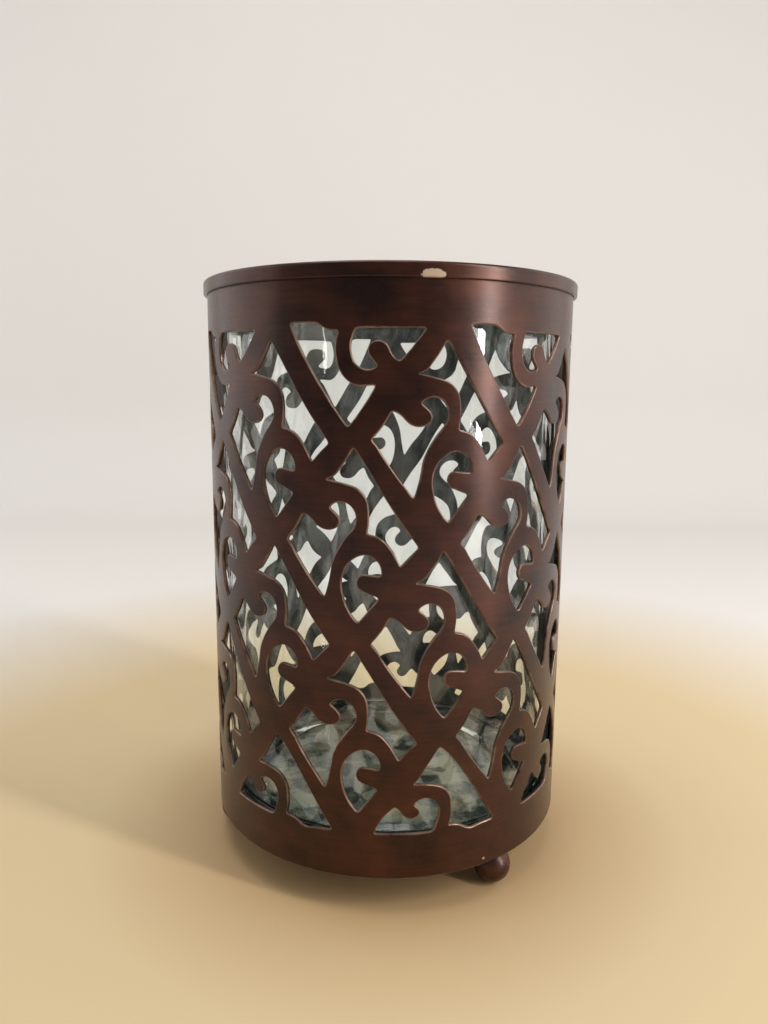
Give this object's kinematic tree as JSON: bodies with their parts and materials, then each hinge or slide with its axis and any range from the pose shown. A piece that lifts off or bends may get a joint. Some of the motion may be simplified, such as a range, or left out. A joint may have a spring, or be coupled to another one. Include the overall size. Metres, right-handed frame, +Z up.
{
  "type": "pierced candle holder",
  "caption": "Round pierced sheet-metal candle holder with a top ring, a floor pan on ball feet and a clear glass liner that lifts out.",
  "frame": {"origin": "on the axis of the sleeve, on the plane the ball feet stand on", "axes": "+Z up along the sleeve's axis, -Y towards the front, the sleeve's seam at +X"},
  "size_m": [0.104, 0.104, 0.16],
  "materials": {
    "bronze_paint": "satin",
    "copper_paint": "satin",
    "zinc_steel": "satin",
    "clear_glass": "polished"
  },
  "bodies": {
    "holder": {"sleeve": "bronze_paint", "top_ring": "bronze_paint", "floor_pan": "bronze_paint", "ball_foot_front": "copper_paint", "ball_foot_back": "copper_paint", "ball_foot_left": "copper_paint", "foot_screws": "zinc_steel"},
    "liner": {"glass_liner": "clear_glass"}
  },
  "joints": [
    {"name": "liner_lift", "type": "slide", "parent": "holder", "child": "liner", "axis": [0, 0, 1], "range_m": [0, 0.16]}
  ]
}
